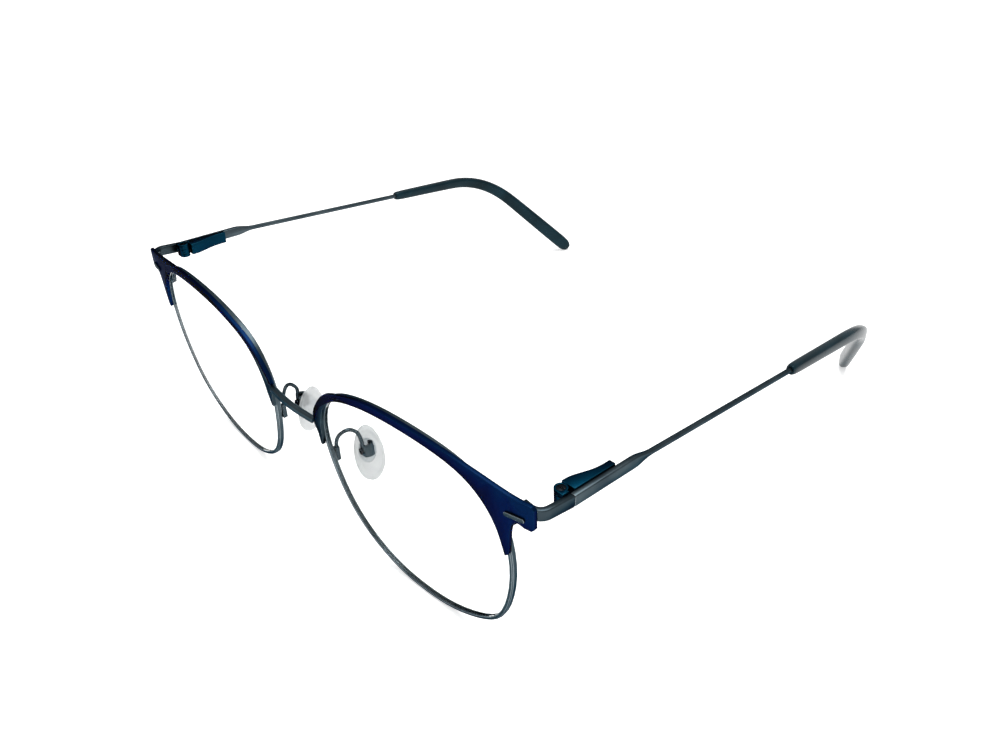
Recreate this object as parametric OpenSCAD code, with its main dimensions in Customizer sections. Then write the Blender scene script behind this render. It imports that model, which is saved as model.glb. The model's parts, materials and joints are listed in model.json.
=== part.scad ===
// Full-rim metal eyeglasses: two rims on a shallow dome, a pressed brow plate over each,
// adjustable nose pads, and temples on three-knuckle spring hinges.
// +Z is up, the front faces -Y, the temples run to +Y. The glasses stand on the rims and tips.

/* [Front] */
// Width of a lens
lens_w = 53; // [46:0.5:58]
// Height of a lens
lens_h = 44.6; // [38:0.2:50]
// Gap between the lenses over the nose
lens_gap = 21; // [17:0.5:25]
// Tilt of the lens tops towards the front, in degrees
tilt = 3.2; // [0:0.2:8]
// Turn of the outer lens edges towards the back, in degrees
wrap = 3.1; // [0:0.1:6]
// Radius of the dome that both faces of the front follow
dome_r = 265; // [180:5:500]

/* [Rims and lenses] */
// Width of the rim wire, seen from the front
rim_w = 0.9; // [0.8:0.05:1.4]
// Depth of the rim wire, front to back
rim_d = 1.35; // [1.2:0.05:2]
// Depth of the groove that holds the lens
groove_d = 0.25; // [0.2:0.05:0.4]
// Thickness of a lens
lens_t = 1.1; // [0.9:0.1:2]
// Free space between the lens edge and its groove
lens_fit = 0.03; // [0.02:0.01:0.06]

/* [Brow plates and bridge] */
// Thickness of the pressed brow and nose plates
plate_t = 0.8; // [0.6:0.1:1.2]
// Height of the outer tab at the end of a brow plate
tab_h = 5.2; // [4:0.1:6.5]
// How far the tab reaches past the lens edge
tab_reach = 6.6; // [5:0.1:8]
// Length of the raised bar on the tab
bar_len = 4.3; // [3:0.1:5]
// Height of the bridge bar
bridge_h = 1.6; // [1.4:0.1:2.4]
// Depth of the bridge bar
bridge_d = 1.5; // [1.2:0.1:2]
// Height of the bridge above the middle of the lenses
bridge_up = 9.7; // [6:0.1:14]

/* [Temples] */
// Height of the flat blade and of the end piece
blade_h = 2.4; // [2.2:0.1:3.4]
// Thickness of the flat blade and of the end piece
blade_t = 1.3; // [1.2:0.05:1.8]
// Length of the flat blade behind the hinge
blade_len = 15.5; // [13:0.5:24]
// Diameter of the temple wire
wire_dia = 1.2; // [1:0.05:1.6]
// Length from the hinge seam to the start of the tip
wire_len = 68; // [55:1:80]
// Length from the hinge seam to the ear bend
bend_len = 102.5; // [92:0.5:115]
// Length of the hook behind the ear bend
hook_len = 40; // [36:0.5:46]
// Inward lean of the hook, in degrees
hook_cant = 34; // [10:1:38]
// Height of a tip at its start and at its paddle end
tip_h = [2.7, 4.3]; // [2:0.1:5]
// Thickness of a tip at its start and at its paddle end
tip_t = [2.5, 2.7]; // [2:0.1:4]

/* [Hinges] */
// Radius of the hinge barrel
barrel_r = 1.25; // [1.2:0.05:1.7]
// Height of the hinge barrel, over all three knuckles
barrel_h = 3.4; // [3:0.1:4.5]
// Diameter of the hinge screw's shank
screw_dia = 1.2; // [1:0.1:1.4]
// Running clearance of pins and slides
run_fit = 0.04; // [0.02:0.01:0.08]
// Travel of the sprung tongue in its housing
spring_travel = 0.8; // [0.5:0.1:1]
// Length of the spring housing
housing_len = 10.4; // [8:0.2:12]

/* [Nose pads] */
// Height, width and thickness of a nose pad
pad_size = [14, 7.2, 2.4]; // [1:0.1:16]
// Diameter of the pad arm wire
arm_dia = 0.85; // [0.7:0.05:1.1]
// Rock of a pad on its screw, in degrees each way
pad_rock = 8; // [4:1:10]

/* [Hidden] */

navy = [0.05, 0.17, 0.33];
teal = [0.02, 0.24, 0.33];
gunmetal = [0.27, 0.31, 0.33];
steel = [0.62, 0.64, 0.66];
clear = [0.85, 0.9, 0.92, 0.35];
silicone = [0.92, 0.93, 0.94, 0.8];
tip_black = [0.05, 0.08, 0.13];

EPS = 0.01;
STEPS = 4;      // points along each stretch of a smooth outline
WIRE_FN = 24;   // facets round a small round part

// ---- small helpers -------------------------------------------------------

function unit(v) = v / norm(v);
function lerp(a, b, t) = a + (b - a) * t;
function ease(t) = let (c = min(1, max(0, t))) c * c * (3 - 2 * c);
// Direction for a turn away from +Y towards -X and a fall below level
function heading(turn, fall) = [-sin(turn) * cos(fall), cos(turn) * cos(fall), -sin(fall)];

// Tangents of a smooth curve through points p, found by repeated averaging
function relax(p, m, closed, n) = n == 0 ? m : relax(p, [for (i = [0 : len(p) - 1])
    let (k = len(p), a = (i + k - 1) % k, b = (i + 1) % k)
    closed || (i > 0 && i < k - 1) ? (3 * (p[b] - p[a]) - m[a] - m[b]) / 4
        : i == 0 ? (3 * (p[1] - p[0]) - m[1]) / 2 : (3 * (p[i] - p[a]) - m[a]) / 2
    ], closed, n - 1);
function hermite(a, b, ma, mb, t) = (2 * t ^ 3 - 3 * t ^ 2 + 1) * a + (t ^ 3 - 2 * t ^ 2 + t) * ma
    + (3 * t ^ 2 - 2 * t ^ 3) * b + (t ^ 3 - t ^ 2) * mb;
function curve(p, steps, closed = false) = let (
    m = relax(p, [for (q = p) q * 0], closed, 24), k = len(p)) [
    for (i = [0 : k - (closed ? 1 : 2)], j = [0 : steps - 1])
        hermite(p[i], p[(i + 1) % k], m[i], m[(i + 1) % k], j / steps),
    if (!closed) p[k - 1]];

// A closed flat outline pushed outwards by d, each point along its own normal
function pushed(p, d) = [for (i = [0 : len(p) - 1])
    let (k = len(p), t = unit(p[(i + 1) % k] - p[(i + k - 1) % k])) p[i] + d * [t[1], -t[0]]];

// Cross-section with corner radius r, half width a and half height b
function section(a, b, r) = [for (q = [0 : 3], t = [15, 45, 75])
    let (sx = q == 0 || q == 3 ? 1 : -1, sy = q < 2 ? 1 : -1, w = q * 90 + t)
    [sx * (a - r) + r * cos(w), sy * (b - r) + r * sin(w)]];

// Solid skin over rings of points, capped at both ends or joined into a loop
module skin(rings, loop = false) {
    n = len(rings);
    k = len(rings[0]);
    sides = [for (i = [0 : n - (loop ? 1 : 2)], j = [0 : k - 1])
        let (a = i * k, b = ((i + 1) % n) * k, j2 = (j + 1) % k)
        each [[a + j, a + j2, b + j2], [a + j, b + j2, b + j]]];
    caps = loop ? [] : [[for (j = [k - 1 : -1 : 0]) j], [for (j = [0 : k - 1]) (n - 1) * k + j]];
    polyhedron([for (r = rings) each r], concat(sides, caps));
}

// Rings of a section swept along path, its height kept near the up direction
function tube(path, sections, up = [0, 0, 1]) = [for (i = [0 : len(path) - 1])
    let (a = max(0, i - 1), b = min(len(path) - 1, i + 1), t = unit(path[b] - path[a]),
        x = unit(cross(t, up)), y = cross(x, t))
    [for (q = sections[i]) path[i] + q[0] * x + q[1] * y]];

module both_sides(side) {
    if (side == "left") children();
    else mirror([1, 0, 0]) children();
}

// ---- the front -----------------------------------------------------------

// Lens shape as shares of its half width and half height, from the outer edge upwards
LENS_SHAPE = [
    [0.995, 0], [0.968, 0.468], [0.833, 0.752], [0.603, 0.924], [0.22, 0.995], [-0.22, 0.982],
    [-0.597, 0.883], [-0.859, 0.694], [-0.992, 0.363], [-0.979, 0], [-0.859, -0.437],
    [-0.638, -0.764], [-0.321, -0.952], [0, -0.995], [0.321, -0.952], [0.657, -0.786], [0.873, -0.51]
];
outline = curve([for (p = LENS_SHAPE) [p[0] * lens_w / 2, p[1] * lens_h / 2]], STEPS, true);
opening = pushed(outline, -groove_d);

// Height of the dome over the flat lens plane at distance r from the lens middle
DOME_ZERO = 24;
function dome(r) = (DOME_ZERO ^ 2 - r ^ 2) / (2 * dome_r);

// Height of the lens middles, with the rims' lowest edge on the ground
half_w = lens_w / 2;
half_h = lens_h / 2;
REST_TRIM = -0.12;
lens_z = (half_h + rim_w - groove_d) * cos(tilt) + (rim_d / 2 + dome(half_h)) * sin(tilt) + REST_TRIM;

// Outer tab of the brow plate, over and beside the lens middle
tab_u = half_w + tab_reach;
tab_top_v = half_h - 1.95;
tab_low_v = tab_top_v - tab_h;

// Temple line: blade, then wire, then the hook, which falls until its end rests on the ground
BLADE_FALL = 3.7;
BLADE_TOE = 1;
WIRE_FALL = 6.8;
WIRE_TOE = 1.7;
BEND_REACH = 13;
end_piece_w = rim_d / 2 + dome(tab_u);
end_piece_v = (tab_top_v + tab_low_v) / 2 + 1.15;
seam_z = lens_z + end_piece_v * cos(tilt) - end_piece_w * sin(tilt) - 1.45;
blade_dir = heading(BLADE_TOE, BLADE_FALL);
wire_dir = heading(WIRE_TOE, WIRE_FALL);
ear_bend = blade_len * blade_dir + (bend_len - blade_len) * wire_dir;
TIP_CLEAR = 0.5;
hook_drop = asin((seam_z + ear_bend[2] - TIP_CLEAR) / hook_len);
hook_dir = heading(hook_cant, hook_drop);
hook_end = ear_bend + hook_len * hook_dir;

// The front sits as far ahead of the origin as the tip ends sit behind it
lens_x = (lens_gap + lens_w) / 2;
DEPTH_ADD = 6.1;
lens_y = -(hook_end[1] + DEPTH_ADD) / 2;

// Lens frame: X outwards, Y up and Z forwards, with its origin at the middle of the lens
module at_lens() {
    translate([lens_x, lens_y, lens_z]) rotate([90 + tilt, 0, wrap]) children();
}
// The same move for a point
function from_lens(p) = let (
    y = -p[2] * cos(tilt) - p[1] * sin(tilt), z = p[1] * cos(tilt) - p[2] * sin(tilt))
    [lens_x + p[0] * cos(wrap) - y * sin(wrap), lens_y + p[0] * sin(wrap) + y * cos(wrap), lens_z + z];

// Rings that follow an outline: each profile point is [outwards, forwards]
function ring_loop(line, profile) = [for (i = [0 : len(line) - 1])
    let (k = len(line), t = unit(line[(i + 1) % k] - line[(i + k - 1) % k]), out = [t[1], -t[0]])
    [for (q = profile) let (p = line[i] + q[0] * out) [p[0], p[1], q[1] + dome(norm(p))]]];

edge_cut = 0.22;
groove_mouth = 0.42;
rim_profile = let (i = -groove_d, o = rim_w - groove_d, h = rim_d / 2, c = edge_cut) [
    [0, 0], [i, groove_mouth], [i, h - c / 2], [i + c / 2, h], [o - c, h], [o, h - c],
    [o, c - h], [o - c, -h], [i + c / 2, -h], [i, c / 2 - h], [i, -groove_mouth]];

// The closing block is hidden behind the prong and the tab, at this count of outline points
BLOCK_AT = 6;
block_size = [2.1, 4.4, 1.8];
block_gap = 0.16;
closing_tap = 0.7;
block_point = outline[BLOCK_AT];
block_turn = let (t = outline[BLOCK_AT + 1] - outline[BLOCK_AT - 1]) atan2(-t[0], t[1]);
rim_out = rim_w - groove_d;
block_w = -rim_d / 2 + dome(norm(block_point)) - 0.45;
screw_out = rim_out + 1.15;

// Block frame: X away from the lens, Y along the rim, at the groove's middle
module at_block() { at_lens() translate([block_point[0], block_point[1], block_w]) rotate(block_turn) children(); }

module rim() {
    color(gunmetal) difference() {
        at_lens() skin(ring_loop(outline, rim_profile), true);
        at_block() cube([5, block_gap, 6], center = true);
    }
}

module lens() {
    h = lens_t / 2;
    c = lens_fit;
    rings = [
        [for (p = outline) [p[0] * 0.45, p[1] * 0.45, h + dome(0.45 * norm(p))]],
        [for (p = outline) [p[0] * 0.8, p[1] * 0.8, h + dome(0.8 * norm(p))]],
        for (q = [[-groove_d - c, h], [-groove_d - c, groove_mouth - 2 * c], [-c, 0],
            [-groove_d - c, 2 * c - groove_mouth], [-groove_d - c, -h]])
            [for (r = ring_loop(outline, [q])) r[0]],
        [for (p = outline) [p[0] * 0.8, p[1] * 0.8, dome(0.8 * norm(p)) - h]],
        [for (p = outline) [p[0] * 0.45, p[1] * 0.45, dome(0.45 * norm(p)) - h]]
    ];
    color(clear) at_lens() skin([for (r = rings) [for (i = [len(r) - 1 : -1 : 0]) r[i]]]);
}

// A dish of the front's dome, from height z and t thick, to cut plates from
DISH_RINGS = 18;
DISH_STEP = norm([tab_u, 1.1 * half_h]) / (DISH_RINGS - 1);
module dish(z, t) {
    rotate_extrude($fn = 120) polygon([
        for (i = [0 : DISH_RINGS]) [DISH_STEP * i, dome(DISH_STEP * i) + z],
        for (i = [DISH_RINGS : -1 : 0]) [DISH_STEP * i, dome(DISH_STEP * i) + z + t]]);
}
plate_back = rim_d / 2 + 0.02;    // back face of the plates, on a film of solder
module plate(points, z = plate_back, t = plate_t) {
    at_lens() intersection() {
        dish(z, t);
        translate([0, 0, -8]) linear_extrude(16) polygon(points);
    }
}

// Part of the opening's edge between two places, given as counts of its points
function edge(from, to) = [for (i = [from : to]) opening[i % len(opening)]];
PRONG_AT = 1;
BROW_END = 6 * STEPS + 3;
PLATE_FOOT = 9 * STEPS - 3;

corner = 0.6;

// Boundary between the brow plate and the nose plate, from the opening outwards
seam_line = [[-0.94 * half_w, 0.62 * half_h], [-1.025 * half_w, 0.47 * half_h]];
brow_tip = [[-1.045 * half_w, 0.4 * half_h], [-1.085 * half_w, 0.41 * half_h]];
brow_top = curve([
    brow_tip[1], [-1.05 * half_w, 0.53 * half_h], [-0.91 * half_w, 0.743 * half_h],
    [-0.745 * half_w, 0.868 * half_h], [-0.4 * half_w, 1.007 * half_h], [0, 1.06 * half_h],
    [0.4 * half_w, 1.045 * half_h], [0.78 * half_w, 0.985 * half_h],
    [half_w + 1.5, tab_top_v + 0.3], [tab_u - corner, tab_top_v]], 3);
// Prong over the upper outer rim, and the notch between it and the tab
prong = curve([
    [tab_u - 2.1, tab_low_v], [half_w + 2.6, tab_low_v + 0.25], [half_w + 1.55, tab_low_v - 1.7],
    [half_w + 1.15, tab_low_v - 4.4], [half_w + 0.75, tab_low_v - 8.2]], 3);

module brow_plate() {
    color(navy) plate(concat(
        edge(PRONG_AT + 3, BROW_END), seam_line, brow_tip, [for (i = [1 : len(brow_top) - 1]) brow_top[i]],
        [[tab_u, tab_top_v - corner], [tab_u, tab_low_v + corner], [tab_u - corner, tab_low_v]],
        prong, [[half_w - 0.1, tab_low_v - 8.9]]));
}

nose_reach = 2.25;    // how far the nose plate reaches towards the bridge
nose_outline = concat(
    edge(BROW_END, PLATE_FOOT), [
        [-half_w - 0.45, 0.13 * half_h], [-half_w - 1.1, 0.13 * half_h],
        [-half_w - 1.35, 0.25 * half_h], [-half_w - 2, 0.31 * half_h],
        [-half_w - nose_reach, 0.34 * half_h], [-half_w - nose_reach, 0.4 * half_h]],
    [brow_tip[0]], [seam_line[1], seam_line[0]]);
module nose_plate() { color(gunmetal) plate(nose_outline); }

// Middle of the raised bar, over the tab's lower edge
bar_at = [tab_u - bar_len / 2 - 1.8, tab_low_v + 1.6];
module brow_bar() {
    h = 0.85;
    color(gunmetal) at_lens() intersection() {
        dish(plate_back + plate_t, 0.35);
        translate([bar_at[0], bar_at[1], -8]) rotate(4) linear_extrude(16) hull() {
            for (s = [-1, 1]) translate([s * (bar_len - h) / 2, 0]) circle(d = h, $fn = 32);
        }
    }
}

// The bridge runs between the nose plates, just ahead of their edges
module bridge() {
    foot = from_lens([-half_w - nose_reach - 0.28, bridge_up - 1.4, rim_d / 2 + plate_t / 2 + dome(half_w + 2)]);
    inner = foot + [-1.5, -0.25, 0.1];
    path = curve([foot, inner, [0, inner[1] - 0.45, inner[2] + 0.1],
        [-inner[0], inner[1], inner[2]], [-foot[0], foot[1], foot[2]]], 5);
    profile = let (a = bridge_d / 2, b = bridge_h / 2) [
        [a, -b + 0.25], [a, b - 0.6], [a - 0.6, b], [-a + 0.3, b], [-a, b - 0.3], [-a, -b + 0.3],
        [-a + 0.3, -b], [a - 0.25, -b]];
    color(gunmetal) skin(tube([for (i = [len(path) - 1 : -1 : 0]) path[i]],
        [for (p = path) [for (q = profile) [-q[0], q[1]]]]));
}

// ---- closing blocks ------------------------------------------------------

module closing_block() {
    half = (block_size[1] - block_gap) / 2;
    color(gunmetal) difference() {
        at_block() for (side = [-1, 1])
            translate([rim_out + 0.02, side > 0 ? block_gap / 2 : -block_gap / 2 - half, -block_size[2] / 2])
                cube([block_size[0], half, block_size[2]]);
        at_block() translate([screw_out, 0, 0]) rotate([90, 0, 0])
            cylinder(r = closing_tap + run_fit, h = 2 * block_size[1], center = true, $fn = WIRE_FN);
    }
}

module closing_screw() {
    color(steel) at_block() translate([screw_out, 0, 0]) rotate([90, 0, 0]) {
        translate([0, 0, -block_size[1] / 2]) cylinder(r = closing_tap, h = block_size[1], $fn = WIRE_FN);
        difference() {
            translate([0, 0, block_size[1] / 2]) cylinder(r = closing_tap + 0.25, h = 0.5, $fn = WIRE_FN);
            translate([-2, -0.12, block_size[1] / 2 + 0.25]) cube([4, 0.24, 1]);
        }
    }
}

// ---- end piece, hinge and temple -----------------------------------------

// Outer corner of the tab, where the end piece starts
tab_corner = from_lens([tab_u, end_piece_v, end_piece_w]);
blade_x = tab_corner[0] + 0.55;                 // middle of the blade at the seam
seam_y = tab_corner[1] + 8.3;
seam = [blade_x, seam_y, seam_z];
seam_gap = 0.12;
BEND_R = 2.2;

module end_piece() {
    start = tab_corner + [-3.4, 0.12 + blade_t / 2, -0.35];
    turn = [blade_x - BEND_R, start[1] + BEND_R, start[2] - 0.2];
    path = concat([start], [for (a = [-90 : 15 : 0])
        [turn[0] + BEND_R * cos(a), turn[1] + BEND_R * sin(a), turn[2] - 0.15 * (a + 90) / 90]],
        [seam + [0, -seam_gap, 0]]);
    color(gunmetal) difference() {
        skin(tube(path, [for (p = path) section(blade_t / 2, blade_h / 2, 0.3)]));
        translate([0, seam_y - seam_gap, 0]) cube([200, 20, 200]);
        at_lens() dish(plate_back - 0.01, 6);
    }
}

hinge = [blade_x - blade_t / 2 - barrel_r - 0.4, seam_y - 0.45, seam_z];
knuckle_gap = 0.05;
knuckle_h = (barrel_h - 2 * knuckle_gap) / 3;
screw_head_h = 0.45;

module hinge_bracket() {
    wall_x = blade_x - blade_t / 2 - hinge[0];
    color(teal) translate(hinge) difference() {
        for (z = [-barrel_h / 2, barrel_h / 2 - knuckle_h]) translate([0, 0, z]) {
            cylinder(r = barrel_r, h = knuckle_h, $fn = 48);
            translate([0, -barrel_r, 0]) cube([wall_x - 0.02, barrel_r + 0.2, knuckle_h]);
        }
        translate([0, 0, -5]) cylinder(r = screw_dia / 2 + run_fit, h = 10, $fn = 48);
        translate([0, 0, barrel_h / 2 - screw_head_h]) cylinder(r = screw_dia / 2 + 0.3, h = 2, $fn = 48);
    }
    // plate against the end piece that joins both knuckles
    color(teal) translate(hinge + [barrel_r + 0.1, -barrel_r, -barrel_h / 2])
        cube([wall_x - 0.12 - barrel_r, barrel_r + 0.2, barrel_h]);
}

module hinge_screw() {
    r = screw_dia / 2;
    color(steel) translate(hinge) difference() {
        union() {
            translate([0, 0, -barrel_h / 2]) cylinder(r = r, h = barrel_h - screw_head_h, $fn = 48);
            translate([0, 0, barrel_h / 2 - screw_head_h]) cylinder(r = r + 0.26, h = screw_head_h, $fn = 48);
        }
        translate([-2, -0.13, barrel_h / 2 - 0.22]) cube([4, 0.26, 1]);
    }
}

// Blade frame: origin at the seam, Y along the blade
module at_blade() { translate(seam) rotate([-BLADE_FALL, 0, BLADE_TOE]) children(); }

housing_w = [3.05, 1.4];       // width at the front and at the rear
housing_h = 2.9;
rod_r = 0.42;
slide_x = hinge[0] - seam[0] + 0.55;   // the slide's line, from the blade's middle
slide_front = 1.15;                    // housing front, behind the seam
bore_mouth = 1;                        // length of the narrow bore at the housing front
stop_r = 0.65;
stop_t = 0.6;
stop_at = slide_front + bore_mouth + 3.2;
bore_end = stop_at + stop_t + spring_travel + 0.3;

// A round bar along the slide's line, between two places behind the seam
module along_slide(r, from, to) {
    translate([slide_x, from, 0]) rotate([-90, 0, 0]) cylinder(r = r, h = to - from, $fn = WIRE_FN);
}

module spring_housing() {
    x0 = -blade_t / 2 - 0.02;
    color(teal) at_blade() difference() {
        translate([0, 0, -housing_h / 2]) linear_extrude(housing_h) polygon(concat(
            [[x0, slide_front], [x0, slide_front + housing_len]],
            curve([[x0 - housing_w[1], slide_front + housing_len],
                [x0 - housing_w[1] - 0.25, slide_front + housing_len * 0.62],
                [x0 - housing_w[0] + 0.25, slide_front + housing_len * 0.25],
                [x0 - housing_w[0], slide_front]], 4)));
        along_slide(rod_r + run_fit, slide_front - 1, bore_end);
        // chamber of the spring, open inside only
        along_slide(stop_r + run_fit, slide_front + bore_mouth, bore_end);
    }
}

rod_end = stop_at + stop_t + 0.15;
module hinge_tongue() {
    color(steel) difference() {
        union() {
            translate(hinge - [0, 0, knuckle_h / 2]) cylinder(r = barrel_r, h = knuckle_h, $fn = 48);
            at_blade() along_slide(rod_r, 0.1, rod_end);
        }
        translate(hinge - [0, 0, 5]) cylinder(r = screw_dia / 2 + run_fit, h = 10, $fn = 48);
    }
}

// Collar on the rod's end, which the spring pushes against
module spring_stop() {
    color(steel) at_blade() difference() {
        along_slide(stop_r, stop_at, stop_at + stop_t);
        along_slide(rod_r + EPS, stop_at - 1, rod_end + 1);
    }
}

spring_wire = 0.14;
spring_turns = 7;
module hinge_spring() {
    r = (rod_r + stop_r + run_fit) / 2;
    y0 = slide_front + bore_mouth + spring_wire / 2 + 0.02;
    y1 = stop_at - spring_wire / 2 - 0.02;
    n = spring_turns * 10;
    path = [for (i = [0 : n]) let (a = i * 36)
        [slide_x + r * cos(a), lerp(y0, y1, i / n), r * sin(a)]];
    color(steel) at_blade() skin(tube(path, [for (p = path)
        [for (a = [45 : 90 : 315]) spring_wire / 2 * [cos(a), sin(a)]]], [0, 1, 0]));
}

// Centre line of a temple, from the seam to the end of the tip
function temple_point(s) = s < blade_len ? s * blade_dir
    : s < bend_len - BEND_REACH ? blade_len * blade_dir + (s - blade_len) * wire_dir
    : s < bend_len + BEND_REACH ? let (t = (s - bend_len + BEND_REACH) / (2 * BEND_REACH))
        ear_bend - (1 - t) ^ 2 * BEND_REACH * wire_dir + t ^ 2 * BEND_REACH * hook_dir
    : ear_bend + (s - bend_len) * hook_dir;
temple_len = bend_len + hook_len;
taper_len = 5;

// The wire's end lies this far inside the tip; its rings sit at these lengths from the seam
CORE_SHORT = 16;
core_end = min(bend_len + BEND_REACH, temple_len - CORE_SHORT);
wire_stations = concat([for (s = [blade_len + 12 : 12 : bend_len - BEND_REACH - 6]) s],
    [for (t = [0 : 0.1 : 1]) lerp(bend_len - BEND_REACH, core_end, t)]);
wire_lift = 0.05 * (blade_h - wire_dia);
tip_fit = 0.01;
function wire_section(grow) = [for (q = section(wire_dia / 2 + grow, wire_dia / 2 + grow, wire_dia / 2))
    q + [0, wire_lift]];

module temple() {
    front_stations = concat([0, blade_len - 1.5], [for (t = [0 : 0.2 : 0.8]) blade_len + taper_len * t]);
    stations = concat(front_stations, [blade_len + taper_len], wire_stations);
    sections = concat([for (s = front_stations) let (t = ease((s - blade_len) / taper_len),
        a = lerp(blade_t, wire_dia, t) / 2, b = lerp(blade_h, wire_dia, t) / 2)
        [for (q = section(a, b, lerp(0.3, wire_dia / 2, t))) q + [0, wire_lift * t]]],
        [for (i = [0 : len(wire_stations)]) wire_section(0)]);
    color(gunmetal) translate(seam) difference() {
        skin(tube([for (s = stations) temple_point(s)], sections));
        translate([-5, -5, -5]) cube([10, 5, 10]);
    }
}

module temple_tip() {
    stations = concat([wire_len, wire_len + 0.35, wire_len + 1.2],
        [for (s = [wire_len + 9 : 9 : bend_len - BEND_REACH - 4]) s],
        [for (t = [0 : 0.1 : 1]) lerp(bend_len - BEND_REACH, bend_len + BEND_REACH, t)],
        [for (t = [0.3, 0.6, 0.85, 0.95, 0.99]) lerp(bend_len + BEND_REACH, temple_len, t)]);
    sections = [for (s = stations) let (
        g = ease((s - wire_len) / (temple_len - wire_len)),
        open = s < wire_len + 1 ? lerp(0.78, 1, s - wire_len) : 1,
        back = temple_len - s, r = tip_h[1] / 2,
        shut = back < r ? sqrt(max(0.02, 1 - ((r - back) / r) ^ 2)) : 1,
        a = lerp(tip_t[0], tip_t[1], g) / 2 * open * lerp(shut, 1, 0.25),
        b = lerp(tip_h[0], tip_h[1], g) / 2 * open * shut)
        [for (q = section(a, b, min(a, b) * 0.8)) q + [0, wire_lift]]];
    core = [for (s = wire_stations) if (s > wire_len - 12) s];
    color(tip_black) translate(seam) difference() {
        skin(tube([for (s = stations) temple_point(s)], sections));
        skin(tube([for (s = core) temple_point(s)], [for (s = core) wire_section(tip_fit)]));
    }
}

// ---- nose pads -----------------------------------------------------------

pad_foot = from_lens([-0.979 * half_w - 0.2, -0.02 * half_h, -rim_d / 2 + dome(half_w)]);
foot_size = [1, 1, 3.4];
pad_axis = pad_foot + [2.15, 6.6, -1.15];     // middle of the pad screw
box_r = 1.4;
box_h = 2.8;
box_flat = 1.2;
slot_w = 1.3;
pad_screw_r = 0.42;
tab_r = 0.8;
pad_lean = 11;       // pad tops lean towards the nose
pad_splay = 4;       // pad backs spread apart
pad_drop = [1, -2.2];     // middle of the pad behind and below its screw
pad_back = -1.15;    // back face of the pad, inwards of the screw
insert_t = 0.5;
module at_pad() { translate(pad_axis) rotate([0, -pad_lean, -pad_splay]) children(); }

module pad_arm() {
    path = curve([for (q = [[0, 0.6, -0.8], [-0.25, 0.75, 1.6], [0.05, 1.25, 3.8], [0.84, 2.5, 5],
        [1.27, 3.8, 4.9], [1.45, 5, 3.7], [1.55, 5.5, 2.4], [2, 5.55, 1], [2.35, 5.6, -0.4]])
        pad_foot + q], 4);
    color(gunmetal) {
        skin(tube(path, [for (p = path) [for (a = [22.5 : 45 : 337.5]) arm_dia / 2 * [cos(a), sin(a)]]],
            [1, 0, 0.2]));
        // flat foot on the back of the rim
        translate(pad_foot + [-foot_size[0] / 2, 0, -foot_size[2] / 2]) cube(foot_size);
        pad_box();
    }
}

// Clevis that holds the pad's tab, open towards the nose
module pad_box() {
    at_pad() difference() {
        cylinder(r = box_r, h = box_h, center = true, $fn = 48);
        translate([-5, -slot_w / 2, -5]) cube([5 + tab_r + 0.12, slot_w, 10]);
        translate([-5.75, -5, -5]) cube([5, 10, 10]);
        translate([-5, -5 - box_flat, -5]) cube([10, 5, 10]);
        rotate([90, 0, 0]) cylinder(r = pad_screw_r + run_fit, h = 10, center = true, $fn = WIRE_FN);
    }
}

module pad_screw() {
    head_at = box_flat;
    color(steel) at_pad() rotate([90, 0, 0]) {
        translate([0, 0, -box_r - 0.1]) cylinder(r = pad_screw_r, h = head_at + box_r + 0.1, $fn = WIRE_FN);
        difference() {
            translate([0, 0, head_at]) cylinder(r = pad_screw_r + 0.3, h = 0.55, $fn = WIRE_FN);
            translate([-2, -0.11, head_at + 0.3]) cube([4, 0.22, 1]);
        }
    }
}

// Hard tab inside the pad: a plate in the pad's back and an eye on the screw
module pad_insert() {
    t = slot_w - 0.2;
    color(clear) at_pad() difference() {
        union() {
            rotate([90, 0, 0]) cylinder(r = tab_r, h = t, center = true, $fn = 48);
            translate([pad_back - insert_t / 2, -t / 2, -tab_r]) cube([insert_t / 2 - pad_back, t, 2 * tab_r]);
            translate([pad_back - insert_t, pad_drop[0] / 2, pad_drop[1] / 2]) rotate([0, 90, 0])
                linear_extrude(insert_t) polygon([for (a = [0 : 15 : 345]) [2.9 * cos(a), 2 * sin(a)]]);
        }
        rotate([90, 0, 0]) cylinder(r = pad_screw_r + run_fit, h = 5, center = true, $fn = WIRE_FN);
    }
}

// Soft oval pad: nearly flat at the back, domed towards the nose
module nose_pad() {
    levels = [[0, 0.8], [0.04, 0.92], [0.2, 1], [0.42, 0.98], [0.66, 0.84], [0.86, 0.58], [0.97, 0.28]];
    rings = [for (q = levels) [for (a = [0 : 12 : 348])
        [pad_back - q[0] * pad_size[2], pad_drop[0] - q[1] * pad_size[1] / 2 * sin(a) * (1 - 0.1 * cos(a)),
            pad_drop[1] + q[1] * pad_size[0] / 2 * cos(a)]]];
    color(silicone) at_pad() difference() {
        skin(rings);
        translate([pad_back - insert_t, pad_drop[0] / 2, pad_drop[1] / 2]) rotate([0, 90, 0])
            linear_extrude(2) polygon([for (a = [0 : 15 : 345]) [2.9 * cos(a), 2 * sin(a)]]);
        translate([pad_back - insert_t / 2, -slot_w / 2, -tab_r]) cube([3, slot_w, 2 * tab_r]);
    }
}

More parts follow.
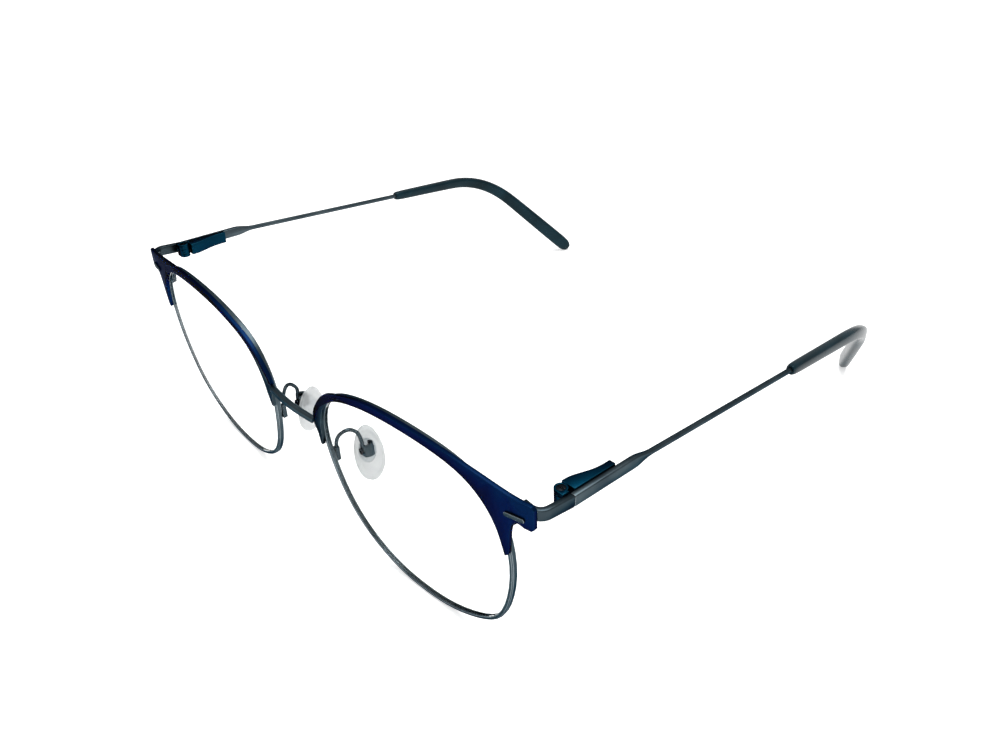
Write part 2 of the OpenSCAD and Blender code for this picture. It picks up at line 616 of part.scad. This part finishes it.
bridge();
both_sides("left") rim();  // rim_left
both_sides("right") rim();  // rim_right
both_sides("left") lens();  // lens_left
both_sides("right") lens();  // lens_right
both_sides("left") brow_plate();  // brow_plate_left
both_sides("right") brow_plate();  // brow_plate_right
both_sides("left") brow_bar();  // brow_bar_left
both_sides("right") brow_bar();  // brow_bar_right
both_sides("left") nose_plate();  // nose_plate_left
both_sides("right") nose_plate();  // nose_plate_right
both_sides("left") closing_block();  // closing_block_left
both_sides("right") closing_block();  // closing_block_right
both_sides("left") closing_screw();  // closing_screw_left
both_sides("right") closing_screw();  // closing_screw_right
both_sides("left") end_piece();  // end_piece_left
both_sides("right") end_piece();  // end_piece_right
both_sides("left") hinge_bracket();  // hinge_bracket_left
both_sides("right") hinge_bracket();  // hinge_bracket_right
both_sides("left") hinge_screw();  // hinge_screw_left
both_sides("right") hinge_screw();  // hinge_screw_right
both_sides("left") hinge_tongue();  // hinge_tongue_left
both_sides("right") hinge_tongue();  // hinge_tongue_right
both_sides("left") hinge_spring();  // hinge_spring_left
both_sides("right") hinge_spring();  // hinge_spring_right
both_sides("left") spring_housing();  // spring_housing_left
both_sides("right") spring_housing();  // spring_housing_right
both_sides("left") spring_stop();  // spring_stop_left
both_sides("right") spring_stop();  // spring_stop_right
both_sides("left") temple();  // temple_left
both_sides("right") temple();  // temple_right
both_sides("left") temple_tip();  // temple_tip_left
both_sides("right") temple_tip();  // temple_tip_right
both_sides("left") pad_arm();  // pad_arm_left
both_sides("right") pad_arm();  // pad_arm_right
both_sides("left") pad_screw();  // pad_screw_left
both_sides("right") pad_screw();  // pad_screw_right
both_sides("left") pad_insert();  // pad_insert_left
both_sides("right") pad_insert();  // pad_insert_right
both_sides("left") nose_pad();  // nose_pad_left
both_sides("right") nose_pad();  // nose_pad_right
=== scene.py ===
# %% [markdown]
# # Metal eyeglasses with dark brow plates
# This lesson dresses a measured model of a pair of glasses. Thin plated wire rims carry a pressed,
# enamelled brow plate each. The temples are slim wire with polished plastic tips, and they fold on
# small sprung hinges. Two soft pads stand on bent wire arms over the nose.
# Everything is in metres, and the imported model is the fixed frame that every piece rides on.

# %% Load the frame
import bpy
import bmesh
import json
import math
from mathutils import Vector, Matrix


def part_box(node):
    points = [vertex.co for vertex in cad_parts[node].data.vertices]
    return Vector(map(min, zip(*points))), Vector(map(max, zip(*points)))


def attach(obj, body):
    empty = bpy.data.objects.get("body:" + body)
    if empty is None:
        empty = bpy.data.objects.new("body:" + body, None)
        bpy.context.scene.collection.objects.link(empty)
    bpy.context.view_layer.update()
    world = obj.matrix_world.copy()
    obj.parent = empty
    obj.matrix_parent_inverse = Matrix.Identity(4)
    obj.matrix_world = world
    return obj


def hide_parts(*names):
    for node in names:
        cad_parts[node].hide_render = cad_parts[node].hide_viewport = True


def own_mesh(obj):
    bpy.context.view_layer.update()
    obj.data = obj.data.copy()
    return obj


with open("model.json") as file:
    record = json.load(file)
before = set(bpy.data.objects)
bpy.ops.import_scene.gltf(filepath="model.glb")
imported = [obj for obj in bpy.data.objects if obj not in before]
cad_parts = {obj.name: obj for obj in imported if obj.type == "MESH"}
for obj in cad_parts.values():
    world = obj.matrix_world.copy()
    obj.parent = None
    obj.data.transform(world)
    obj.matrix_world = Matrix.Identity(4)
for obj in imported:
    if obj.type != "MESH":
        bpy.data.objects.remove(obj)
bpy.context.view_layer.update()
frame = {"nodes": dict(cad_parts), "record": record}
MM = 0.001
SIDES = ("left", "right")

# %% [markdown]
# A small group of helpers keeps the material cells short. Colours are chosen as screen hex values,
# and Blender's shaders want linear light, so `tone` converts them. Every finish ends the same way:
# a noise picks the colour between two stops, the same or another noise spreads the roughness, and
# most have a fine relief. `surface` wires that up.

# %% Colour and node helpers
def tone(hex_code):
    """A hex screen colour as linear light, with full alpha."""
    parts = [int(hex_code[i:i + 2], 16) / 255 for i in (0, 2, 4)]
    linear = [c / 12.92 if c <= 0.04045 else ((c + 0.055) / 1.055) ** 2.4 for c in parts]
    return (*linear, 1.0)


def add(tree, kind, settings=None, links=None):
    """One node: settings for its properties, colour stops or unlinked sockets, links into its sockets."""
    node = tree.nodes.new(kind)
    for key, value in (settings or {}).items():
        if key == "stops":
            for element, (position, hex_code) in zip(node.color_ramp.elements, value):
                element.position = position
                element.color = tone(hex_code)
        elif isinstance(key, str) and hasattr(node, key):
            setattr(node, key, value)
        else:
            node.inputs[key].default_value = value
    for key, source in (links or {}).items():
        tree.links.new(source, node.inputs[key])
    return node


def new_material(name, constants):
    """A material with constants on its shader, and the place in the object that its noises read."""
    material = bpy.data.materials.new(name)
    material.use_nodes = True
    tree = material.node_tree
    shader = tree.nodes["Principled BSDF"]
    for socket, value in constants.items():
        shader.inputs[socket].default_value = value
    return material, tree, shader, add(tree, "ShaderNodeTexCoord").outputs["Object"]


def surface(tree, shader, colour_by, stops, rough_by=None, rough=(), relief=None):
    """Colour and roughness from noises; relief is (height, strength, depth in metres)."""
    tint = add(tree, "ShaderNodeValToRGB", {"stops": stops}, {"Fac": colour_by})
    tree.links.new(tint.outputs["Color"], shader.inputs["Base Color"])
    if rough_by:
        ends = {"To Min": rough[0], "To Max": rough[1]}
        spread = add(tree, "ShaderNodeMapRange", ends, {"Value": rough_by})
        tree.links.new(spread.outputs["Result"], shader.inputs["Roughness"])
    if relief:
        height, strength, depth = relief
        dents = add(tree, "ShaderNodeBump", {"Strength": strength, "Distance": depth}, {"Height": height})
        tree.links.new(dents.outputs["Normal"], shader.inputs["Normal"])


print("a dark navy in linear light:", [round(c, 4) for c in tone("082449")])

# %% [markdown]
# ** Plated metal.** The rims, bridge, temples and pad arms wear a dark gunmetal plating. Real plating
# is never one grey: it clouds slightly and it has a very fine polishing grain. The corners carry a
# painted highlight: a highlight painted by curvature would need a dense mesh, so the brighter colour
# sits on real bevel faces, which `soften` gives their own brighter material further on. The specular
# tint keeps the metal dark where it is seen at a glancing angle.

# %% Plated metal
def plated(name, dark, light, rough=(0.26, 0.42), grain=0.06):
    constants = {"Metallic": 1.0, "Specular Tint": tone("8a949a")}
    material, tree, shader, place = new_material(name, constants)
    cloud = add(tree, "ShaderNodeTexNoise", {"Scale": 160, "Detail": 4, "Roughness": 0.55},
                {"Vector": place}).outputs["Fac"]
    fine = add(tree, "ShaderNodeTexNoise", {"Scale": 5400, "Detail": 3}, {"Vector": place}).outputs["Fac"]
    surface(tree, shader, cloud, [(0.3, dark), (0.7, light)], cloud, rough, (fine, grain, 0.02 * MM))
    return material


gunmetal = plated("gunmetal plating", "2b3439", "3a454b")
wire_metal = plated("gunmetal plating on drawn wire", "353f45", "485358")
# a much lighter plating for the bevel faces: a painted highlight along every softened corner
bevel_highlight_metal = plated("polished plating with a painted highlight on the bevels", "6a757b", "8f999e", rough=(0.16, 0.26))
dark_steel = plated("blackened steel screw", "15191d", "262b30", rough=(0.2, 0.34))
steel = plated("turned steel", "8a8f93", "a9aeb1", rough=(0.2, 0.34), grain=0.12)
print("plated finishes:", gunmetal.name, "|", bevel_highlight_metal.name, "|", dark_steel.name, "|", steel.name)

# %% [markdown]
# **Enamel.** The brow plates are pressed sheet under a dark navy enamel, and the hinge housings wear
# the same kind of coat in teal. Sprayed enamel has a faint orange-peel surface, a little sparkle of
# flake in the colour, and a thin clear coat on top. So the colour comes from a cloud mixed with
# flakes, the waviness is a low bump, and the coat is the shader's own coat layer.

# %% Enamel
FLAKE_SHARE = 0.35


def enamel(name, deep, bright, grazing):
    constants = {"Metallic": 1.0, "Specular Tint": tone(grazing), "Coat Weight": 0.02,
                 "Coat Roughness": 0.1}
    material, tree, shader, place = new_material(name, constants)
    peel = add(tree, "ShaderNodeTexNoise", {"Scale": 900, "Detail": 2}, {"Vector": place}).outputs["Fac"]
    flake = add(tree, "ShaderNodeTexVoronoi", {"Scale": 5200}, {"Vector": place}).outputs["Distance"]
    cloud = add(tree, "ShaderNodeTexNoise", {"Scale": 70, "Detail": 3}, {"Vector": place}).outputs["Fac"]
    mixed = add(tree, "ShaderNodeMix", {"data_type": "FLOAT", 0: FLAKE_SHARE}, {2: cloud, 3: flake})
    surface(tree, shader, mixed.outputs[0], [(0.2, deep), (0.75, bright)], cloud, (0.32, 0.46),
            (peel, 0.08, 0.03 * MM))
    return material


navy = enamel("navy enamel", "021028", "082449", "48688a")
# the bevel versions are a lighter blue and teal: a painted highlight along the edges of the brow plates and
# hinge parts
navy_painted_highlight = enamel("navy enamel with a painted highlight on the bevels", "0c2a45", "1d4a6b", "56748e")
teal = enamel("teal enamel", "011a28", "043247", "2c5264")
teal_painted_highlight = enamel("teal enamel with a painted highlight on the bevels", "072e3e", "164e62", "3c6474")
print("enamels:", navy.name, "|", teal.name)

# %% [markdown]
# **Plastics.** The lenses are 1.1 mm of hard resin with a coating that kills most reflections, so
# from the front they all but vanish: a transmission shader with a low index keeps them that quiet.
# The pads are soft silicone, cloudier, round a clear hard core. The tips are polished acetate, near
# black with a blue-green cast.

# %% Lens, silicone, pad core and acetate
def resin():
    constants = {"IOR": 1.03, "Transmission Weight": 1.0}
    material, tree, shader, place = new_material("coated lens resin", constants)
    smear = add(tree, "ShaderNodeTexNoise", {"Scale": 60, "Detail": 2}, {"Vector": place}).outputs["Fac"]
    surface(tree, shader, smear, [(0.3, "fbfefd"), (0.7, "ffffff")], smear, (0.0, 0.03))
    return material


def silicone():
    constants = {"IOR": 1.16, "Transmission Weight": 0.6}
    material, tree, shader, place = new_material("soft silicone", constants)
    haze = add(tree, "ShaderNodeTexNoise", {"Scale": 420, "Detail": 4}, {"Vector": place}).outputs["Fac"]
    surface(tree, shader, haze, [(0.3, "c6c8c9"), (0.7, "d6d8d8")], haze, (0.22, 0.42),
            (haze, 0.05, 0.03 * MM))
    return material


def pad_core():
    constants = {"IOR": 1.3, "Transmission Weight": 0.85}
    material, tree, shader, place = new_material("hard pad core", constants)
    haze = add(tree, "ShaderNodeTexNoise", {"Scale": 300, "Detail": 2}, {"Vector": place}).outputs["Fac"]
    surface(tree, shader, haze, [(0.3, "d5dde2"), (0.7, "eef2f4")], haze, (0.1, 0.2))
    return material


def acetate():
    constants = {"Specular IOR Level": 0.18, "Specular Tint": tone("a8c0c8")}
    material, tree, shader, place = new_material("polished navy acetate", constants)
    cloud = add(tree, "ShaderNodeTexNoise", {"Scale": 110, "Detail": 5, "Distortion": 0.6},
                {"Vector": place}).outputs["Fac"]
    fine = add(tree, "ShaderNodeTexNoise", {"Scale": 1500, "Detail": 2}, {"Vector": place}).outputs["Fac"]
    surface(tree, shader, cloud, [(0.3, "07161b"), (0.72, "122a33")], cloud, (0.2, 0.32),
            (fine, 0.03, 0.02 * MM))
    return material


lens_resin = resin()
pad_silicone = silicone()
core_plastic = pad_core()
tip_acetate = acetate()
print("plastics:", lens_resin.name, "|", pad_silicone.name, "|", tip_acetate.name)

# %% [markdown]
# ** From measured piece to finished piece.** A finished piece starts as a welded copy of a measured
# one, or as a new mesh. Its modifiers are turned into plain faces. It then stands for the measured
# piece and rides on the same body.

# %% Helpers for finished pieces
WELD = 0.002 * MM
body_of_node = {n: b for b, nodes in frame["record"]["behaviour"]["bodies"].items() for n in nodes}


def welded_copy(node, suffix, finishes):
    """A copy of a measured mesh with its own finishes, and an editing grid of it with no doubles."""
    mesh = frame["nodes"][node].data.copy()
    mesh.name = node + suffix
    mesh.materials.clear()
    for finish in finishes:
        mesh.materials.append(finish)
    grid = bmesh.new()
    grid.from_mesh(mesh)
    bmesh.ops.remove_doubles(grid, verts=grid.verts, dist=WELD)
    return mesh, grid


def new_piece(name, mesh, grid=None):
    """An object for the mesh, which takes its faces from the grid if there is one."""
    if grid is not None:
        grid.to_mesh(mesh)
        grid.free()
    piece = bpy.data.objects.new(name, mesh)
    bpy.context.collection.objects.link(piece)
    return piece


def bake_modifiers(piece):
    """Make the piece's modifiers into plain faces."""
    seen = piece.evaluated_get(bpy.context.evaluated_depsgraph_get())
    piece.data = bpy.data.meshes.new_from_object(seen)
    piece.modifiers.clear()


def subdivide(piece, levels=2):
    smooth = piece.modifiers.new("smooth", "SUBSURF")
    smooth.levels = smooth.render_levels = levels
    bake_modifiers(piece)


def shade_smooth(mesh, corner=None):
    """Smooth shading, broken at edges sharper than corner degrees."""
    for face in mesh.polygons:
        face.use_smooth = True
    if corner:
        mesh.set_sharp_from_angle(angle=math.radians(corner))


def stand_for(piece, node):
    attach(piece, body_of_node[node])
    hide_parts(node)


# %% [markdown]
# ** Softened corners.** Every metal piece here is machined or pressed and then tumbled, so each corner
# ends as a small bevel. The corners of a welded copy are cut by a Bevel modifier, 0.04 to 0.12 mm
# wide, and the bevel faces get their own brighter finish: a painted highlight along every corner.

# %% Bevelled copies of the measured pieces
FLAT = 1          # faces that differ by less than this many degrees are joined before the bevel
CORNER = 32       # edges sharper than this many degrees are bevelled
CREASE = 38       # edges sharper than this many degrees stay sharp in the shading
BEVEL_STEPS = 2


def soften(node, finish, edge_finish, width):
    """A bevelled copy of a measured node; width is in millimetres."""
    mesh, grid = welded_copy(node, "_softened", (finish, edge_finish))
    bmesh.ops.dissolve_limit(grid, angle_limit=math.radians(FLAT), verts=grid.verts, edges=grid.edges)
    piece = new_piece(node + "_body", mesh, grid)
    for face in mesh.polygons:
        face.material_index = 0
    bevel = piece.modifiers.new("corners", "BEVEL")
    bevel.width = width * MM
    bevel.segments = BEVEL_STEPS
    bevel.limit_method = "ANGLE"
    bevel.angle_limit = math.radians(CORNER)
    # the bevel faces take the second finish, lighter than the first: the painted highlight
    bevel.material = 1
    bake_modifiers(piece)
    shade_smooth(piece.data, CREASE)
    stand_for(piece, node)
    return piece


# finish, finish of the bevels with its painted highlight, width of the bevels in millimetres
soft_metal = {
    "rim": (wire_metal, bevel_highlight_metal, 0.05),
    "nose_plate": (gunmetal, bevel_highlight_metal, 0.1),
    "brow_bar": (gunmetal, bevel_highlight_metal, 0.06),
    "brow_plate": (navy, navy_painted_highlight, 0.12),
    "end_piece": (gunmetal, bevel_highlight_metal, 0.05),
    "hinge_bracket": (teal, teal_painted_highlight, 0.06),
    "spring_housing": (teal, teal_painted_highlight, 0.12),
    "temple": (wire_metal, bevel_highlight_metal, 0.04),
    "closing_block": (gunmetal, bevel_highlight_metal, 0.06),
    "closing_screw": (dark_steel, dark_steel, 0.04),
    # the hinge and pad screws show bright steel on the bevels of blackened steel: a painted highlight
    "hinge_screw": (dark_steel, steel, 0.04),
    "hinge_tongue": (teal, teal_painted_highlight, 0.05),
    "pad_arm": (gunmetal, bevel_highlight_metal, 0.05),
    "pad_screw": (dark_steel, steel, 0.04),
}
made = [soften(f"{kind}_{side}", *look) for kind, look in soft_metal.items() for side in SIDES]
made.append(soften("bridge", wire_metal, bevel_highlight_metal, 0.06))
print("bevelled pieces:", len(made), "with", sum(len(p.data.polygons) for p in made), "faces")

# %% [markdown]
# Pieces whose form is already right keep their measured mesh and only take a finish.

# %% Finishes on the measured pieces that stay
stays = {"lens": lens_resin, "spring_stop": steel, "pad_insert": core_plastic}
for kind, finish in stays.items():
    for side in SIDES:
        materials = frame["nodes"][f"{kind}_{side}"].data.materials
        materials.clear()
        materials.append(finish)
print("kept as measured:", ", ".join(stays))

# %% [markdown]
# **Hinge springs.** A sprung hinge has a tiny compression coil round its slide rod. A coil repeats one
# turn along a line, which is what Geometry Nodes are for: a spiral curve carries a round wire. The
# tree has named inputs for its sizes, so the same tree makes both coils, and each result is made a
# plain mesh and laid along its own slide.

# %% Coil from Geometry Nodes
COIL_INPUTS = {"Turns": 7.0, "Coil radius": 0.555 * MM, "Length": 3.1 * MM, "Wire radius": 0.07 * MM}


def coil_tree(finish):
    tree = bpy.data.node_groups.new("coil spring", "GeometryNodeTree")
    tree.interface.new_socket("Geometry", in_out="OUTPUT", socket_type="NodeSocketGeometry")
    for label in COIL_INPUTS:
        tree.interface.new_socket(label, in_out="INPUT", socket_type="NodeSocketFloat")
    sizes = add(tree, "NodeGroupInput").outputs
    spiral = add(tree, "GeometryNodeCurveSpiral", {"Resolution": 24}, {
        "Rotations": sizes["Turns"], "Start Radius": sizes["Coil radius"],
        "End Radius": sizes["Coil radius"], "Height": sizes["Length"]})
    wire = add(tree, "GeometryNodeCurvePrimitiveCircle", {"Resolution": 10},
               {"Radius": sizes["Wire radius"]})
    swept = add(tree, "GeometryNodeCurveToMesh", {"Fill Caps": True}, {
        "Curve": spiral.outputs["Curve"], "Profile Curve": wire.outputs["Curve"]})
    rounded = add(tree, "GeometryNodeSetShadeSmooth", links={"Geometry": swept.outputs["Mesh"]})
    real = add(tree, "GeometryNodeRealizeInstances", links={"Geometry": rounded.outputs["Geometry"]})
    metal = add(tree, "GeometryNodeSetMaterial", {"Material": finish}, {"Geometry": real.outputs["Geometry"]})
    add(tree, "NodeGroupOutput", links={"Geometry": metal.outputs["Geometry"]})
    return tree


def coil(node, tree, along):
    """A coil centred on the measured one, along the unit direction of its slide."""
    piece = new_piece(node + "_coil", bpy.data.meshes.new("empty"))
    nodes = piece.modifiers.new("coil", "NODES")
    nodes.node_group = tree
    for socket in tree.interface.items_tree:
        if socket.in_out == "INPUT":
            nodes[socket.identifier] = COIL_INPUTS[socket.name]
    bake_modifiers(piece)
    low, high = (Vector(corner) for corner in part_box(node))
    centre, half = (low + high) / 2, COIL_INPUTS["Length"] / 2
    turn = Vector((0, 0, 1)).rotation_difference(Vector(along)).to_matrix().to_4x4()
    piece.data.transform(Matrix.Translation(centre) @ turn @ Matrix.Translation((0, 0, -half)))
    stand_for(piece, node)
    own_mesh(piece)
    return piece


joint_axis = {j["name"]: j["axis"] for j in frame["record"]["behaviour"]["joints"]}
spring_tree = coil_tree(steel)
coils = [coil(f"hinge_spring_{side}", spring_tree, joint_axis[f"spring_{side}"])
         for side in SIDES]
print("coil faces:", [len(c.data.polygons) for c in coils])

# %% [markdown]
# **Temple tips.** Each tip is a moulded sleeve, polished until it has no hard edge along it. The
# measured sleeve has flats round it, so the triangles of a welded copy are joined into four-sided
# faces, and two rounds of subdivision turn the flats into a smooth swelling form. The rim of its
# mouth, where the wire goes in, is creased so that it stays crisp.

# %% Smooth copies of the tips
JOIN_FACES = 25       # triangles that differ by less than this many degrees are joined in pairs
JOIN_SHAPE = 60       # and the four-sided face may be this many degrees from square
HARD_EDGE = 50        # edges sharper than this many degrees are creased
CREASE_SHARE = 0.8
TIP_CORNER = 60       # edges sharper than this many degrees stay sharp in the shading


def polish(node, finish):
    """A subdivided copy of a moulded node."""
    mesh, grid = welded_copy(node, "_polished", [finish])
    bmesh.ops.join_triangles(grid, faces=grid.faces, angle_face_threshold=math.radians(JOIN_FACES),
                             angle_shape_threshold=math.radians(JOIN_SHAPE))
    crease = grid.edges.layers.float.new("crease_edge")
    for edge in grid.edges:
        if len(edge.link_faces) == 2 and edge.calc_face_angle(0) > math.radians(HARD_EDGE):
            edge[crease] = CREASE_SHARE
    piece = new_piece(node + "_body", mesh, grid)
    subdivide(piece)
    shade_smooth(piece.data, TIP_CORNER)
    stand_for(piece, node)
    return piece


tips = [polish(f"temple_tip_{side}", tip_acetate) for side in SIDES]
print("tip faces:", [len(t.data.polygons) for t in tips])

# %% [markdown]
# **Nose pads.** A pad is a soft silicone oval moulded round a hard core. Its back is nearly flat with
# a shallow moat that follows the outline, its edge is a full round, and the side against the nose is
# crowned. The form follows a rule, so it is built as rings of points: each ring is the same rounded
# oval at its own share of the outline and its own depth. The moat's floor is the pair of rings at
# depth 0.1 near the back rim.

# %% Silicone nose pads
PAD_LEAN = math.radians(-11)
PAD_SPLAY = math.radians(-4)
PAD_FIT = 0.97        # the oval's share of the measured pad, so that it stays inside it
PAD_EGG = 0.1         # how much wider the oval is at its lower end
OUTLINE_POINTS = 48
# share of the outline, depth from the back as a share of the pad's thickness
PAD_RINGS = [
    (0.0, 0.055), (0.3, 0.055), (0.62, 0.05), (0.7, 0.1), (0.76, 0.1), (0.8, 0.03), (0.86, 0.0),
    (0.93, 0.05), (0.985, 0.18), (1.0, 0.34), (0.975, 0.5), (0.9, 0.66), (0.76, 0.8), (0.54, 0.91),
    (0.28, 0.98), (0.0, 1.0)]


def pad(side):
    """A ringed pad in its own frame: X through its thickness, Y across it, Z along it."""
    node = f"nose_pad_{side}"
    sign = 1 if side == "left" else -1
    turn = Matrix.Rotation(PAD_SPLAY * sign, 3, "Z") @ Matrix.Rotation(PAD_LEAN * sign, 3, "Y")
    unturn = turn.inverted()
    points = [unturn @ v.co for v in frame["nodes"][node].data.vertices]
    low = Vector([min(p[i] for p in points) for i in range(3)])
    high = Vector([max(p[i] for p in points) for i in range(3)])
    middle, half = (low + high) / 2, (high - low) / 2 * PAD_FIT
    back_x, thick = (high.x, low.x - high.x) if side == "left" else (low.x, high.x - low.x)
    grid = bmesh.new()
    rings = []
    for share, depth in PAD_RINGS:
        x = back_x + depth * thick
        count = OUTLINE_POINTS if share else 1
        ring = []
        for k in range(count):
            a = 2 * math.pi * k / count
            y = middle.y + share * half.y * math.sin(a) * (1 - PAD_EGG * math.cos(a))
            z = middle.z + share * half.z * math.cos(a)
            ring.append(grid.verts.new(turn @ Vector((x, y, z))))
        rings.append(ring)
    for a, b in zip(rings, rings[1:]):
        for k in range(OUTLINE_POINTS):
            n = (k + 1) % OUTLINE_POINTS
            corners = [a[0]] if len(a) == 1 else [a[k], a[n]]
            corners += [b[0]] if len(b) == 1 else [b[n], b[k]]
            grid.faces.new(corners)
    bmesh.ops.recalc_face_normals(grid, faces=grid.faces)
    mesh = bpy.data.meshes.new(node + "_silicone")
    mesh.materials.append(pad_silicone)
    piece = new_piece(node + "_silicone", mesh, grid)
    shade_smooth(mesh)
    subdivide(piece)
    stand_for(piece, node)
    return piece


pads = [pad(side) for side in SIDES]
print("pad faces:", [len(p.data.polygons) for p in pads])

# %% [markdown]
# **Floor.** A plain pale plane a hair under the glasses. It glows a little, so that it stays near
# white between the soft contact shadows.

# %% Floor
FLOOR_SIZE = 8
FLOOR_DROP = 0.02 * MM
bpy.ops.mesh.primitive_plane_add(size=FLOOR_SIZE, location=(0, 0, -FLOOR_DROP))
floor = bpy.context.object
floor.name = "floor"
glow = {"Roughness": 0.9, "Emission Color": (1, 1, 1, 1), "Emission Strength": 0.45}
floor_material, floor_tree, floor_shader, floor_place = new_material("pale floor", glow)
grit = add(floor_tree, "ShaderNodeTexNoise", {"Scale": 30, "Detail": 4}, {"Vector": floor_place})
surface(floor_tree, floor_shader, grit.outputs["Fac"], [(0.3, "f6f6f6"), (0.7, "fafafa")])
floor.data.materials.append(floor_material)
print("floor:", FLOOR_SIZE, "m wide")

# %% [markdown]
# **Light.** Thin dark wire shows its form only by long soft highlights, so one big light hangs
# overhead and a weaker one fills from the front, on the wearer's left, inside a pale world.

# %% Lights
WORLD_STRENGTH = 0.55
# place, aim and size are in metres, power in watts
LIGHTS = [
    {"name": "overhead", "place": (0.1, 0.1, 0.8), "aim": (0, 0, 0.03), "size": (0.7, 0.5), "power": 6},
    {"name": "front fill", "place": (0.6, -0.7, 0.35), "aim": (0.02, -0.03, 0.03), "size": (0.5, 0.3),
     "power": 1.2},
]
world = bpy.data.worlds.new("soft tent")
world.use_nodes = True
backdrop = world.node_tree.nodes["Background"]
backdrop.inputs["Color"].default_value = (1, 1, 1, 1)
backdrop.inputs["Strength"].default_value = WORLD_STRENGTH
bpy.context.scene.world = world
for lamp in LIGHTS:
    data = bpy.data.lights.new(lamp["name"], "AREA")
    data.shape = "RECTANGLE"
    data.size, data.size_y = lamp["size"]
    data.energy = lamp["power"]
    light = bpy.data.objects.new(lamp["name"], data)
    bpy.context.collection.objects.link(light)
    light.location = lamp["place"]
    toward = Vector(lamp["aim"]) - Vector(lamp["place"])
    light.rotation_euler = toward.to_track_quat("-Z", "Y").to_euler()
print("lights:", [lamp["name"] for lamp in LIGHTS])

# %% [markdown]
# **Camera.** It stands to the front and left of the wearer, about a quarter of a metre away, and looks
# down on the glasses. Its place and turn are stated as a matrix, so that the perspective holds.

# %% Camera
front_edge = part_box("rim_left")[0][1]
eye = Vector((154.56 * MM, front_edge - 75.14 * MM, 146.34 * MM))
right = Vector((0.66934, 0.74143, -0.04755))
down = Vector((0.3819, -0.39825, -0.83399))
forward = Vector((-0.63729, 0.54007, -0.54972))
turn = Matrix((right, -down, -forward)).transposed().to_4x4()
lens_data = bpy.data.cameras.new("camera")
lens_data.sensor_width = 36
lens_data.lens = 34.80
lens_data.clip_start = 0.01
camera = bpy.data.objects.new("camera", lens_data)
bpy.context.collection.objects.link(camera)
camera.matrix_world = Matrix.Translation(eye) @ turn
bpy.context.scene.camera = camera
bpy.context.scene.view_settings.view_transform = "Standard"
print("camera at", [round(v, 4) for v in eye])
